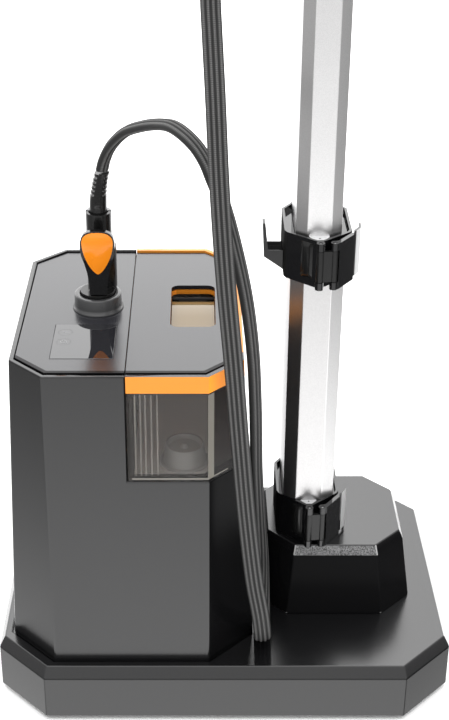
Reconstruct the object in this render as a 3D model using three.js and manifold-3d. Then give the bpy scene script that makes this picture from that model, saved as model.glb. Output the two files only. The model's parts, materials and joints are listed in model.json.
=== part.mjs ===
// Garment steamer with a removable water tank and a telescopic pole.
// Millimetres. +Z is up, the front of the steamer faces -Y, and the origin is on the floor
// under the centre of the base.
import * as THREE from 'three';
import { mergeVertices } from 'three/addons/utils/BufferGeometryUtils.js';
import Module from 'manifold-3d';

const wasm = await Module();
wasm.setup();

// ---- Driving dimensions ------------------------------------------------------------------
const GAP = 0.3;                 // clearance between touching pieces
const WALL = 3;                  // moulded shell thickness

const BASE_HALF = 225;           // half width of the base's top face
const BASE_DEEP = 161.8;         // half depth of the base's top face
const BASE_CUT = 47;             // corner chamfer of the base's top face
const BASE_TOP = 64;             // height of the base
const BASE_BEVEL_DROP = 12;
const BASE_BEVEL_OUT = 6;
const FOOT_HEIGHT = 4;
const FOOT = { reachX: 165, reachY: 148, halfX: 22, halfY: 8 };
const POCKET_FLOOR = 60.5;       // the casing stands in a shallow pocket
const POCKET_MARGIN = 2.5;

const BODY_X = -93.5;            // centre of the casing, which is also the tank seam
const BODY_TOP = 386;
const SHELF = 273.7;             // the tank stands on this shelf
const RIM_BOTTOM = 367.7;        // underside of the orange rim
const PLATE_BOTTOM = 380;
const PLATE_TOP = 384;
const RIM_WIDTH = 5;
const SEAM = 0.5;                // half of the gap between deck and tank

// Tank valve, with its seat under it.
const VALVE = { x: -40, y: -117, plug: 7.4, flange: 24, cup: 19.5, cupHeight: 20 };
const LID_WINDOW = { x0: -54.3, x1: -10.2, y0: -48.6, y1: 46.4, radius: 8 };
const PANEL = { x0: -164.5, x1: -105.5, y0: -115, y1: -43.5 };
const OUTLET = { x: -126, y: -3 };          // centre of the steam outlet collar
const GLAND = { x: -150, z: 95, radius: 8.7, flange: 12, bore: 3.6 };     // for the mains lead
const BOILER = { x: -150, y: 20 };
const PUMP_OUTLET = { x: -65, y: 40 };
const BOARD = { z0: 374, z1: 375.6, margin: 2 };
const SLEEVE = { x: -124, y: 12, radius: 12.7, z1: 480.3 };

const POLE = { x: 85.7, y: -10.3 };
const LOWER_TUBE = { half: 25.5, deep: 42.5, cutX: 12.4, cutY: 9, z0: 64.6, z1: 462 };
const UPPER_TUBE = { half: 21.6, deep: 38.5, cutX: 10.3, cutY: 8, z0: 150, z1: 842 };
const TUBE_WALL = 2;

const TUBE_CLEARANCE = 0.5;
const TOP_OF_ALL = 900;          // a height above every tube

const PIN = { radius: 1.5, bore: 1.8 };     // hinge pins of the flap, levers and links
const CLAMP_HEIGHT = 47;
const MID_CLAMP_Z = 434;
const FOOT_CLAMP_Z = 142.6;
const LINK_PIN = { x: 85.7, y: -67.4 };
const LEVER_PIN = { x: 99, y: -66 };

const HEAD_Z = 828;              // underside of the pole head
const HEAD_HEIGHT = 40;
const HEAD_WALL = 6;
const ARM = { offset: 18, pin: 2, bore: 2.3 };     // hanger arms, either side of the pole
const HANDLE = { x: -17, y: -97, z: 742, radius: 17 };   // pivot of the hanging handset

const HOSE_WIDTH = 17.5;
const HOSE_THICK = 10.5;

// ---- Colours -----------------------------------------------------------------------------
const finish = (color, roughness, metalness = 0, extra = {}) =>
  new THREE.MeshStandardMaterial({ color, roughness, metalness, ...extra });
const FINISH = {
  casing: () => finish('#3a393b', 0.45),
  deck: () => finish('#8f8e92', 0.4),
  base: () => finish('#242325', 0.5),
  rubber: () => finish('#141414', 0.9),
  steel: () => finish('#7c7e82', 0.4, 1),
  gloss: () => finish('#0b0b0c', 0.12),
  orange: () => finish('#ff9a35', 0.4),
  clear: () => finish('#b9b4aa', 0.08, 0, { transparent: true, opacity: 0.35 }),
  silver: () => finish('#c9c9c9', 0.38, 0.9),
  brass: () => finish('#b08d4a', 0.35, 1),
  board: () => finish('#1f5a37', 0.6),
  grey: () => finish('#6f7074', 0.5),
  braid: () => finish('#2b2b2c', 0.9),
};

// ---- Outlines ----------------------------------------------------------------------------
const point = (x, y) => new THREE.Vector2(x, y);

// Eight-sided outline, anticlockwise from the left end of its front face.
function octagon({ x = 0, half, y0, y1, cutX, cutY = cutX }) {
  return [
    point(x - half + cutX, y0), point(x + half - cutX, y0),
    point(x + half, y0 + cutY), point(x + half, y1 - cutY),
    point(x + half - cutX, y1), point(x - half + cutX, y1),
    point(x - half, y1 - cutY), point(x - half, y0 + cutY),
  ];
}

// Every edge of a convex outline moved inwards, or outwards for a negative distance.
function inset(outline, distance) {
  const count = outline.length;
  const lines = outline.map((start, i) => {
    const along = outline[(i + 1) % count].clone().sub(start).normalize();
    const moved = start.clone().add(point(-along.y, along.x).multiplyScalar(distance));
    return { moved, along };
  });
  return lines.map((line, i) => {
    const before = lines[(i + count - 1) % count];
    const step = line.moved.clone().sub(before.moved);
    const t = step.cross(line.along) / before.along.cross(line.along);
    return before.moved.clone().add(before.along.clone().multiplyScalar(t));
  });
}

function rectangle(x0, x1, y0, y1) {
  return [point(x0, y0), point(x1, y0), point(x1, y1), point(x0, y1)];
}

function roundedRectangle({ x0, x1, y0, y1, radius }, margin = 0) {
  const shape = new THREE.Shape();
  const corner = radius - margin;
  const centres = [
    [x1 - radius, y0 + radius, -90], [x1 - radius, y1 - radius, 0],
    [x0 + radius, y1 - radius, 90], [x0 + radius, y0 + radius, 180],
  ];
  for (const [x, y, start] of centres) {
    const from = THREE.MathUtils.degToRad(start);
    shape.absarc(x, y, corner, from, from + Math.PI / 2, false);
  }
  return withoutRepeats(shape.getPoints(4));
}

function withoutRepeats(points) {
  return points.filter((p, i) => p.distanceTo(points[(i + 1) % points.length]) > 1e-3);
}

const blendOutline = (low, high, t) => low.map((p, i) => p.clone().lerp(high[i], t));

// ---- Solids ------------------------------------------------------------------------------
function toSolid(geometry) {
  const bare = geometry.clone();
  bare.deleteAttribute('normal');
  bare.deleteAttribute('uv');
  const merged = mergeVertices(bare, 1e-4);
  const data = { numProp: 3 };
  data.vertProperties = new Float32Array(merged.attributes.position.array);
  data.triVerts = new Uint32Array(merged.index.array);
  return new wasm.Manifold(new wasm.Mesh(data));
}

function toGeometry(solid) {
  const data = solid.getMesh();
  const geometry = new THREE.BufferGeometry();
  geometry.setAttribute('position', new THREE.BufferAttribute(data.vertProperties, 3));
  geometry.setIndex(new THREE.BufferAttribute(data.triVerts, 1));
  geometry.computeVertexNormals();
  return geometry;
}

function prismGeometry(outline, z0, z1) {
  const options = { depth: z1 - z0, bevelEnabled: false, curveSegments: 4 };
  return new THREE.ExtrudeGeometry(new THREE.Shape(outline), options).translate(0, 0, z0);
}

const prism = (outline, z0, z1) => toSolid(prismGeometry(outline, z0, z1));

// A prism whose top outline differs from its bottom outline.
function frustum(low, high, z0, z1) {
  const geometry = prismGeometry(low, z0, z1);
  const position = geometry.attributes.position;
  for (let i = 0; i < position.count; i += 1) {
    if (position.getZ(i) < (z0 + z1) / 2) continue;
    const here = point(position.getX(i), position.getY(i));
    const distances = low.map((p) => p.distanceTo(here));
    const match = high[distances.indexOf(Math.min(...distances))];
    position.setXY(i, match.x, match.y);
  }
  return toSolid(geometry);
}

function block(x0, x1, y0, y1, z0, z1) {
  const geometry = new THREE.BoxGeometry(x1 - x0, y1 - y0, z1 - z0);
  return toSolid(geometry.translate((x0 + x1) / 2, (y0 + y1) / 2, (z0 + z1) / 2));
}

const FACETS = 20;

// Upright round piece from [radius, height] pairs that close on themselves or on the axis.
function turned(profile, x = 0, y = 0, z = 0, facets = FACETS) {
  const pairs = profile.map(([radius, height]) => point(radius, height));
  if (pairs[0].x > 0) pairs.push(pairs[0].clone());
  const geometry = new THREE.LatheGeometry(pairs, facets);
  geometry.rotateX(Math.PI / 2);
  geometry.translate(x, y, z);
  const solid = toSolid(geometry);
  return solid.volume() < 0 ? toSolid(flipped(geometry)) : solid;
}

function flipped(geometry) {
  const copy = geometry.clone();
  const index = copy.index.array;
  for (let i = 0; i < index.length; i += 3) {
    [index[i], index[i + 1]] = [index[i + 1], index[i]];
  }
  return copy;
}

function rod(radius, x, y, z0, z1, facets = FACETS) {
  const geometry = new THREE.CylinderGeometry(radius, radius, z1 - z0, facets);
  geometry.rotateX(Math.PI / 2);
  return toSolid(geometry.translate(x, y, (z0 + z1) / 2));
}

// Round bar along X or along Y.
function barX(radius, x0, x1, y, z, facets = 12) {
  const geometry = new THREE.CylinderGeometry(radius, radius, x1 - x0, facets);
  geometry.rotateZ(Math.PI / 2);
  return toSolid(geometry.translate((x0 + x1) / 2, y, z));
}

function barY(radius, x, y0, y1, z, facets = 12) {
  const geometry = new THREE.CylinderGeometry(radius, radius, y1 - y0, facets);
  return toSolid(geometry.translate(x, (y0 + y1) / 2, z));
}

// An outline drawn in the XZ plane, with its thickness along Y.
function standing(outline, y0, y1) {
  const geometry = prismGeometry(outline, 0, y1 - y0);
  geometry.rotateX(Math.PI / 2);
  return toSolid(geometry.translate(0, y1, 0));
}

// An outline drawn in the YZ plane, with its thickness along X.
function sideways(outline, x0, x1) {
  const geometry = prismGeometry(outline, x0, x1);
  geometry.rotateZ(Math.PI / 2).rotateY(Math.PI / 2);
  return toSolid(geometry);
}

function pipe(points, radius, steps, sides = 8) {
  const path = new THREE.CatmullRomCurve3(points.map((p) => new THREE.Vector3(...p)));
  const section = new THREE.Shape(new THREE.EllipseCurve(0, 0, radius, radius)
    .getPoints(sides).slice(0, sides));
  const options = { steps, extrudePath: path, bevelEnabled: false };
  const geometry = new THREE.ExtrudeGeometry(section, options);
  const solid = toSolid(geometry);
  return solid.volume() < 0 ? toSolid(new THREE.ExtrudeGeometry(
    new THREE.Shape(section.getPoints().reverse()), options)) : solid;
}

// Bends a piece towards +X between two heights.
function lean(geometry, z0, z1, amount) {
  const position = geometry.attributes.position;
  for (let i = 0; i < position.count; i += 1) {
    const t = Math.max(0, (position.getZ(i) - z0) / (z1 - z0));
    position.setX(i, position.getX(i) + amount * t * t);
  }
  return geometry;
}

function place(parent, name, solid, material) {
  const mesh = new THREE.Mesh(toGeometry(solid), material());
  mesh.name = name;
  parent.add(mesh);
  return mesh;
}

// ---- Tapered outlines of the main shells ----------------------------------------------------
const baseTop = octagon({ half: BASE_HALF, y0: -BASE_DEEP, y1: BASE_DEEP, cutX: BASE_CUT });
const baseWall = inset(baseTop, -BASE_BEVEL_OUT);

const bodyFoot = octagon({ x: BODY_X, half: 122.5, y0: -152.3, y1: 140.4, cutX: 45.7 });
const bodyHead = octagon({ x: BODY_X, half: 108.8, y0: -147.9, y1: 136, cutX: 32.9 });
const bodyAt = (z) => blendOutline(bodyFoot, bodyHead, (z - BASE_TOP) / (BODY_TOP - BASE_TOP));
const bodyBetween = (z0, z1, depth = 0) =>
  frustum(inset(bodyAt(z0), depth), inset(bodyAt(z1), depth), z0, z1);

const pedestalFoot = octagon({ x: 114.6, half: 82.2, y0: -78.9, y1: 78.3, cutX: 32.7 });
const pedestalHead = octagon({ x: 114.6, half: 68.7, y0: -65.8, y1: 65.2, cutX: 27.7 });
const PEDESTAL_TOP = 142.3;
const PEDESTAL_BEVEL_DROP = 10;
const PEDESTAL_BEVEL_OUT = 4.5;

const tubeOutline = ({ half, deep, cutX, cutY }) =>
  octagon({ x: POLE.x, half, y0: POLE.y - deep, y1: POLE.y + deep, cutX, cutY });

const REACH = 400;
const tankSide = (z0, z1, x = BODY_X + SEAM) => block(x, REACH, -REACH, REACH, z0, z1);
const controlSide = (z0, z1, x = BODY_X - SEAM) => block(-REACH, x, -REACH, REACH, z0, z1);

// ---- Base ----------------------------------------------------------------------------------
function buildBase(group) {
  const wallTop = BASE_TOP - BASE_BEVEL_DROP;
  let cover = prism(baseWall, FOOT_HEIGHT, wallTop)
    .add(frustum(baseWall, baseTop, wallTop, BASE_TOP));
  const hollow = wallTop - WALL;
  cover = cover.subtract(prism(inset(baseWall, WALL), 0, hollow))
    .subtract(frustum(inset(baseWall, WALL), inset(baseTop, WALL), hollow, POCKET_FLOOR - WALL));
  const pocket = inset(bodyAt(BASE_TOP), -POCKET_MARGIN);
  cover = cover.subtract(prism(pocket, POCKET_FLOOR, BASE_TOP + 1));
  place(group, 'base_cover', cover, FINISH.base);

  const panTop = FOOT_HEIGHT + GAP + WALL;
  const panOutline = inset(baseWall, WALL + GAP);
  place(group, 'base_pan', prism(panOutline, FOOT_HEIGHT + GAP, panTop), FINISH.base);
  const ballast = octagon({ half: 130, y0: -80, y1: 80, cutX: 30 });
  place(group, 'ballast_plate', prism(ballast, panTop + GAP, panTop + 7), FINISH.steel);

  const { reachX, reachY, halfX, halfY } = FOOT;
  const footPlaces = {
    foot_front_left: [-reachX, -reachY], foot_front_middle: [0, -reachY],
    foot_front_right: [reachX, -reachY], foot_rear_left: [-reachX, reachY],
    foot_rear_right: [reachX, reachY],
  };
  for (const [name, [x, y]] of Object.entries(footPlaces)) {
    const foot = prism(roundedRectangle(
      { x0: x - halfX, x1: x + halfX, y0: y - halfY, y1: y + halfY, radius: 6 }), 0, FOOT_HEIGHT);
    place(group, name, foot, FINISH.rubber);
  }
}

function buildPedestal(group) {
  const low = BASE_TOP + GAP;
  const bevel = PEDESTAL_TOP - PEDESTAL_BEVEL_DROP;
  const shoulder = inset(pedestalHead, -PEDESTAL_BEVEL_OUT);
  const hollowTop = bevel - WALL;
  const socket = inset(tubeOutline(LOWER_TUBE), -TUBE_CLEARANCE - 0.1);
  const shell = frustum(pedestalFoot, shoulder, low, bevel)
    .add(frustum(shoulder, pedestalHead, bevel, PEDESTAL_TOP))
    .subtract(frustum(inset(pedestalFoot, WALL), inset(shoulder, WALL), low, hollowTop))
    .subtract(frustum(inset(shoulder, WALL), inset(pedestalHead, WALL), hollowTop,
      PEDESTAL_TOP - WALL))
    .subtract(prism(socket, low, PEDESTAL_TOP + 1));
  place(group, 'pedestal_cover', shell, FINISH.base);
}

// ---- Casing and what it holds ----------------------------------------------------------------
function buildCasing(group) {
  const foot = POCKET_FLOOR + GAP;
  const ledge = 9;
  let casing = bodyBetween(foot, BODY_TOP)
    .subtract(tankSide(SHELF, BODY_TOP + 1, BODY_X))
    .subtract(bodyBetween(foot - 1, SHELF - WALL, WALL));
  const controlHollow = bodyBetween(SHELF - WALL - 1, PLATE_BOTTOM - 4, WALL)
    .intersect(controlSide(foot, BODY_TOP, BODY_X - WALL));
  const controlMouth = bodyBetween(PLATE_BOTTOM - 5, BODY_TOP, ledge)
    .intersect(controlSide(foot, BODY_TOP, BODY_X - WALL - 3));
  const rebate = bodyBetween(PLATE_BOTTOM - GAP, BODY_TOP + 1, RIM_WIDTH);
  casing = casing.subtract(controlHollow).subtract(controlMouth).subtract(rebate);
  casing = casing.subtract(rod(14, VALVE.x, VALVE.y, SHELF - 10, SHELF + 1));
  const rear = bodyAt(GLAND.z)[4].y;
  const glandBar = (radius, y0, y1) => barY(radius, GLAND.x, rear + y0, rear + y1, GLAND.z, 16);
  casing = casing.subtract(glandBar(GLAND.radius + GAP, -10, 5));
  place(group, 'body_casing', casing, FINISH.casing);

  const inlet = glandBar(GLAND.radius, -9, 3)
    .add(glandBar(GLAND.flange, 2, 6))
    .subtract(glandBar(GLAND.bore, -20, 20));
  place(group, 'mains_cable_gland', inlet, FINISH.rubber);

  const panelHole = rectangle(PANEL.x0, PANEL.x1, PANEL.y0, PANEL.y1);
  const deck = bodyBetween(PLATE_BOTTOM, PLATE_TOP, RIM_WIDTH + 1)
    .intersect(controlSide(PLATE_BOTTOM - 1, PLATE_TOP + 1))
    .subtract(prism(panelHole, PLATE_BOTTOM - 1, PLATE_TOP + 1))
    .subtract(rod(16.2, OUTLET.x, OUTLET.y, PLATE_BOTTOM - 1, PLATE_TOP + 1));
  place(group, 'control_deck', deck, FINISH.deck);

  const keys = { power_button: -61, steam_button: -81 };
  const keyX = -153.8;
  const keyRadius = 6.5;
  let panel = prism(inset(panelHole, GAP), PLATE_BOTTOM, PLATE_TOP + 0.3);
  for (const y of Object.values(keys)) {
    panel = panel.subtract(rod(keyRadius + GAP, keyX, y, PLATE_BOTTOM - 1, PLATE_TOP + 1));
  }
  place(group, 'control_panel', panel, FINISH.gloss);
  for (const [name, y] of Object.entries(keys)) {
    const key = rod(keyRadius, keyX, y, PLATE_TOP - 3, PLATE_TOP + 0.3);
    place(group, name, key, FINISH.gloss);
  }
  const board = prism(inset(panelHole, BOARD.margin), BOARD.z0, BOARD.z1);
  place(group, 'control_board', board, FINISH.board);

  const collar = turned([
    [15.8, 377], [15.8, 384.3], [25, 384.3], [25, 386.5], [23.4, 389.5], [22.8, 401],
    [17.4, 401], [17.4, 388], [6.2, 388], [6.2, 377],
  ], OUTLET.x, OUTLET.y);
  place(group, 'outlet_collar', collar, FINISH.casing);

  const seat = turned([
    [13.6, 255], [13.6, SHELF], [8.4, SHELF], [8.4, 262], [4, 262], [4, 255],
  ], VALVE.x, VALVE.y);
  place(group, 'tank_seat_valve', seat, FINISH.rubber);
  const boiler = turned([
    [0, 61], [30, 61], [30, 84], [40, 92], [43, 105], [43, 205], [38, 222], [24, 232], [0, 236],
  ], BOILER.x, BOILER.y);
  place(group, 'steam_boiler', boiler, FINISH.steel);
  const pump = block(-85, -45, 20, 60, 61, 100)
    .add(rod(16, PUMP_OUTLET.x, PUMP_OUTLET.y, 95, 130));
  place(group, 'water_pump', pump, FINISH.grey);
  const steamPipe = pipe([[BOILER.x, BOILER.y, 236.4], [BOILER.x, BOILER.y, 280],
    [-130, 0, 330], [OUTLET.x, OUTLET.y, 376.6]], 4, 14);
  place(group, 'steam_pipe', steamPipe, FINISH.brass);
  const feed = pipe([[VALVE.x, VALVE.y, 254.6], [VALVE.x, VALVE.y, 225], [-64, -40, 192],
    [PUMP_OUTLET.x, 20, 176], [PUMP_OUTLET.x, PUMP_OUTLET.y, 160],
    [PUMP_OUTLET.x, PUMP_OUTLET.y, 130.5]], 4, 14);
  place(group, 'tank_feed_pipe', feed, FINISH.grey);
  const supply = pipe([[-85.4, 40, 80], [-90, 40, 80],
    [-93, 20, 122], [-99, 20, 130], [-106.3, 20, 130]], 3, 8);
  place(group, 'boiler_feed_pipe', supply, FINISH.grey);
}

// ---- Removable tank ----------------------------------------------------------------------------
function buildTank(group) {
  const low = SHELF + GAP;
  const high = RIM_BOTTOM - GAP;
  const wall = 2.5;
  const shell = bodyBetween(low, high)
    .intersect(tankSide(low - 1, high + 1))
    .subtract(bodyBetween(low + wall, high + 1, wall)
      .intersect(tankSide(low, high + 2, BODY_X + SEAM + wall)))
    .subtract(rod(VALVE.plug + 0.6, VALVE.x, VALVE.y, low - 1, low + 5));
  place(group, 'tank_shell', shell, FINISH.clear);

  const floor = low + wall + GAP;
  const valve = turned([
    [0, 266], [VALVE.plug, 266], [VALVE.plug, floor], [VALVE.flange, floor],
    [VALVE.flange, floor + 2.5], [VALVE.cup, floor + 2.5], [VALVE.cup - 1.5, floor + VALVE.cupHeight],
    [VALVE.cup - 4, floor + VALVE.cupHeight], [VALVE.cup - 5, floor + VALVE.cupHeight - 4],
    [0, floor + VALVE.cupHeight - 4],
  ], VALVE.x, VALVE.y);
  place(group, 'tank_valve', valve, FINISH.grey);

  const window = roundedRectangle(LID_WINDOW);
  const shelfBottom = 375;
  const rimLip = 9;
  const seamWall = 6;
  let rim = bodyBetween(RIM_BOTTOM, BODY_TOP).intersect(tankSide(RIM_BOTTOM - 1, BODY_TOP + 1))
    .subtract(bodyBetween(RIM_BOTTOM - 1, shelfBottom, rimLip)
      .intersect(tankSide(RIM_BOTTOM - 2, BODY_TOP, BODY_X + SEAM + seamWall)))
    .subtract(bodyBetween(PLATE_BOTTOM - GAP, BODY_TOP + 1, RIM_WIDTH))
    .subtract(prism(window, shelfBottom - 1, PLATE_BOTTOM + 1));
  const hinge = { y: 39, z: 371.5 };
  for (const x of [LID_WINDOW.x0 - 5, LID_WINDOW.x1 + 1]) {
    rim = rim.add(block(x, x + 4, hinge.y - 4, hinge.y + 4, hinge.z - 4, shelfBottom + 1))
      .subtract(barX(PIN.bore, x - 1, x + 5, hinge.y, hinge.z));
  }
  place(group, 'tank_rim', rim, FINISH.orange);

  const lid = bodyBetween(PLATE_BOTTOM, PLATE_TOP, RIM_WIDTH + 1)
    .intersect(tankSide(PLATE_BOTTOM - 1, PLATE_TOP + 1))
    .subtract(prism(window, PLATE_BOTTOM - 1, PLATE_TOP + 1));
  place(group, 'tank_lid', lid, FINISH.deck);

  const flapHalf = (LID_WINDOW.x1 - LID_WINDOW.x0) / 2 - 0.8;
  const middle = (LID_WINDOW.x1 + LID_WINDOW.x0) / 2;
  const dome = new THREE.Shape([point(-49.5, 366)]);
  dome.quadraticCurveTo(-49.5, 376, -40, 376.5);
  dome.quadraticCurveTo(0, 378.5, 26, 376);
  dome.lineTo(33, 370);
  dome.lineTo(33, 366);
  const flap = sideways(withoutRepeats(dome.getPoints(5)), middle - flapHalf, middle + flapHalf)
    .intersect(prism(roundedRectangle(LID_WINDOW, 0.8), 360, 385))
    .add(barX(3, middle - flapHalf, middle + flapHalf, hinge.y, hinge.z, 14))
    .add(block(middle - 14, middle + 14, 30, hinge.y, 369, 373))
    .subtract(barX(PIN.bore, middle - 30, middle + 30, hinge.y, hinge.z));
  const flapGroup = new THREE.Group();
  group.add(flapGroup);
  place(flapGroup, 'filler_flap', flap, FINISH.clear);
  const pin = barX(PIN.radius, LID_WINDOW.x0 - 5, LID_WINDOW.x1 + 5, hinge.y, hinge.z);
  place(flapGroup, 'filler_flap_pin', pin, FINISH.steel);
}

// ---- Hose connector on the outlet ------------------------------------------------------------
function buildConnector(group) {
  const pivot = { y: -6.5, z: 434 };
  let body = turned([
    [0, 378], [5.9, 378], [5.9, 388.3], [17, 388.3], [17, 403.5], [0, 403.5],
  ], OUTLET.x, OUTLET.y);
  body = body.add(rod(SLEEVE.radius, SLEEVE.x, SLEEVE.y, 401.6, SLEEVE.z1, 24))
    .add(rod(SLEEVE.radius + 1.3, SLEEVE.x + 2.5, SLEEVE.y, 401.6, 445, 24))
    .add(block(SLEEVE.x - 5.5, SLEEVE.x + 5.5, pivot.y - 3, SLEEVE.y - 8, 428, 440))
    .subtract(rod(9.8, SLEEVE.x, SLEEVE.y, 440, SLEEVE.z1 + 1, 24))
    .subtract(barX(PIN.bore, SLEEVE.x - 9, SLEEVE.x + 9, pivot.y, pivot.z));
  place(group, 'hose_connector', body, FINISH.gloss);

  const front = new THREE.Shape();
  front.moveTo(-8.5, 404.5);
  front.lineTo(8.5, 404.5);
  front.quadraticCurveTo(8, 425, 16, 446);
  front.quadraticCurveTo(19.5, 468, 9, 470.5);
  front.quadraticCurveTo(0, 472, -9, 470.5);
  front.quadraticCurveTo(-19.5, 468, -16, 446);
  front.quadraticCurveTo(-8, 425, -8.5, 404.5);
  const outline = withoutRepeats(front.getPoints(5)).map((p) => point(p.x + SLEEVE.x, p.y));
  let lever = standing(outline, -18, -12);
  for (const side of [-1, 1]) {
    const x = SLEEVE.x + side * 7.5;
    lever = lever.add(block(x - 1.5, x + 1.5, -13, pivot.y + 3, 429, 439));
  }
  lever = lever.subtract(barX(PIN.bore, SLEEVE.x - 20, SLEEVE.x + 20, pivot.y, pivot.z));
  const leverGroup = new THREE.Group();
  group.add(leverGroup);
  place(leverGroup, 'release_lever', lever, FINISH.gloss);

  const face = new THREE.Shape();
  face.moveTo(0, 427);
  face.quadraticCurveTo(6, 430, 13, 446);
  face.quadraticCurveTo(18, 467, 8, 469.5);
  face.quadraticCurveTo(0, 471, -8, 469.5);
  face.quadraticCurveTo(-18, 467, -13, 446);
  face.quadraticCurveTo(-6, 430, 0, 427);
  const inlay = withoutRepeats(face.getPoints(5)).map((p) => point(p.x + SLEEVE.x, p.y));
  place(leverGroup, 'release_lever_inlay', standing(inlay, -20, -18 - GAP), FINISH.orange);
  const pin = barX(PIN.radius, SLEEVE.x - 9, SLEEVE.x + 9, pivot.y, pivot.z);
  place(leverGroup, 'release_lever_pin', pin, FINISH.steel);

  const ribs = [[0, 0], [9.4, 0], [9.4, 42]];
  for (let rib = 0; rib < 5; rib += 1) {
    const z = 46 + rib * 6;
    ribs.push([8, z], [9.2 - rib * 0.2, z + 0.5], [9.2 - rib * 0.2, z + 3.5], [7.8, z + 4]);
  }
  ribs.push([7.4, 79.6], [0, 79.6]);
  const upright = toGeometry(turned(ribs, SLEEVE.x, SLEEVE.y, 441, 16));
  place(group, 'hose_strain_relief', toSolid(lean(upright, SLEEVE.z1, 521, 5)), FINISH.rubber);
}

// ---- Pole ----------------------------------------------------------------------------------
function tube(size) {
  const outline = tubeOutline(size);
  return prism(outline, size.z0, size.z1)
    .subtract(prism(inset(outline, TUBE_WALL), size.z0 - 1, size.z1 + 1));
}

// Toggle clamp: a band round the pole, a link on the band's nose and a lever on the link.
function buildClamp(group, prefix, z0, innerOutlines) {
  const z1 = z0 + CLAMP_HEIGHT;
  const knuckle = 7.5;
  const nose = -63;
  const outline = [
    point(82, nose), point(89.4, nose), point(115.4, -41), point(117.5, -36),
    point(117.5, 18), point(106, 36.5), point(66, 36.5), point(54, 18),
    point(54, -36), point(56, -41),
  ];
  const well = 5;
  let band = prism(outline, z0, z1)
    .subtract(prism(inset(outline, 2.6), z1 - well, z1 + 1));
  for (const [hole, low, high] of innerOutlines) band = band.subtract(prism(hole, low, high));
  for (const [low, high] of [[z0, z0 + knuckle], [z1 - knuckle, z1]]) {
    band = band.add(rod(4, LINK_PIN.x, LINK_PIN.y, low, high, 14))
      .add(block(LINK_PIN.x - 3, LINK_PIN.x + 3, LINK_PIN.y, nose + 1.5, low, high));
  }
  band = band.subtract(rod(PIN.bore, LINK_PIN.x, LINK_PIN.y, z0 - 1, z1 + 1, 12));
  place(group, `${prefix}_band`, band, FINISH.gloss);

  const linkGroup = new THREE.Group();
  linkGroup.position.set(LINK_PIN.x, LINK_PIN.y, 0);
  group.add(linkGroup);
  const reach = { x: LEVER_PIN.x - LINK_PIN.x, y: LEVER_PIN.y - LINK_PIN.y };
  const linkLow = z0 + knuckle + GAP * 2;
  const linkHigh = z1 - knuckle - GAP * 2;
  const plate = [point(0, -2.4), point(reach.x, reach.y - 2.4), point(reach.x, reach.y + 1.2),
    point(0, 1.2)];
  const link = prism(plate, linkLow, linkHigh)
    .add(rod(3.8, 0, 0, linkLow, linkHigh, 14))
    .add(rod(3.6, reach.x, reach.y, linkLow, linkHigh, 14))
    .subtract(rod(PIN.bore, 0, 0, z0, z1, 12))
    .subtract(rod(PIN.bore, reach.x, reach.y, z0, z1, 12));
  place(linkGroup, `${prefix}_link`, link, FINISH.gloss);
  place(linkGroup, `${prefix}_link_pin`, rod(PIN.radius, 0, 0, z0 + 0.5, z1 - 0.5, 12), FINISH.steel);

  const leverGroup = new THREE.Group();
  leverGroup.position.set(reach.x, reach.y, 0);
  linkGroup.add(leverGroup);
  const arm = [point(4.6, -1.2), point(20.4, 20.4), point(20.4, 23.8), point(18, 23.8),
    point(3, 3.8)];
  const tongue = [point(19.4, 20), point(21.6, 20.6), point(26.6, 29), point(27.6, 40),
    point(25.4, 40), point(24.2, 30.2), point(19.4, 23)];
  const ears = [[z0, linkLow - GAP * 2], [linkHigh + GAP * 2, z1]];
  let lever = prism(arm, z0, z1);
  lever = lever.add(prism(tongue, z0 + 4, z1 + 3));
  for (const [low, high] of ears) {
    lever = lever.add(rod(3.8, 0, 0, low, high, 14))
      .add(prism([point(0, -3.4), point(5, -0.5), point(5, 5.5), point(0, 3.4)], low, high));
  }
  lever = lever.subtract(rod(PIN.bore, 0, 0, z0 - 1, z1 + 1, 12));
  place(leverGroup, `${prefix}_lever`, lever, FINISH.gloss);
  place(leverGroup, `${prefix}_lever_pin`, rod(PIN.radius, 0, 0, z0 + 0.5, z1 - 0.5, 12), FINISH.steel);
}

function buildPole(group) {
  place(group, 'pole_lower_tube', tube(LOWER_TUBE), FINISH.silver);
  place(group, 'pole_upper_tube', tube(UPPER_TUBE), FINISH.silver);

  const aroundLower = inset(tubeOutline(LOWER_TUBE), -TUBE_CLEARANCE);
  const aroundUpper = inset(tubeOutline(UPPER_TUBE), -TUBE_CLEARANCE);
  const step = LOWER_TUBE.z1 + GAP;
  buildClamp(group, 'foot_clamp', FOOT_CLAMP_Z, [[aroundLower, 0, TOP_OF_ALL]]);
  buildClamp(group, 'height_clamp', MID_CLAMP_Z,
    [[aroundLower, 0, step], [aroundUpper, step - 1, TOP_OF_ALL]]);

  const shelf = 456.5;
  const hook = [
    point(53.6, 437), point(53.6, shelf), point(39.4, shelf), point(36.4, 484), point(33.6, 484),
    point(35.4, 450), point(41, 446),
  ];
  const hookBack = block(39, 53.6, -17.5, -16, shelf - 1, shelf + 4.5);
  place(group, 'hose_hook', standing(hook, -28, -16).add(hookBack), FINISH.gloss);
}

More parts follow.
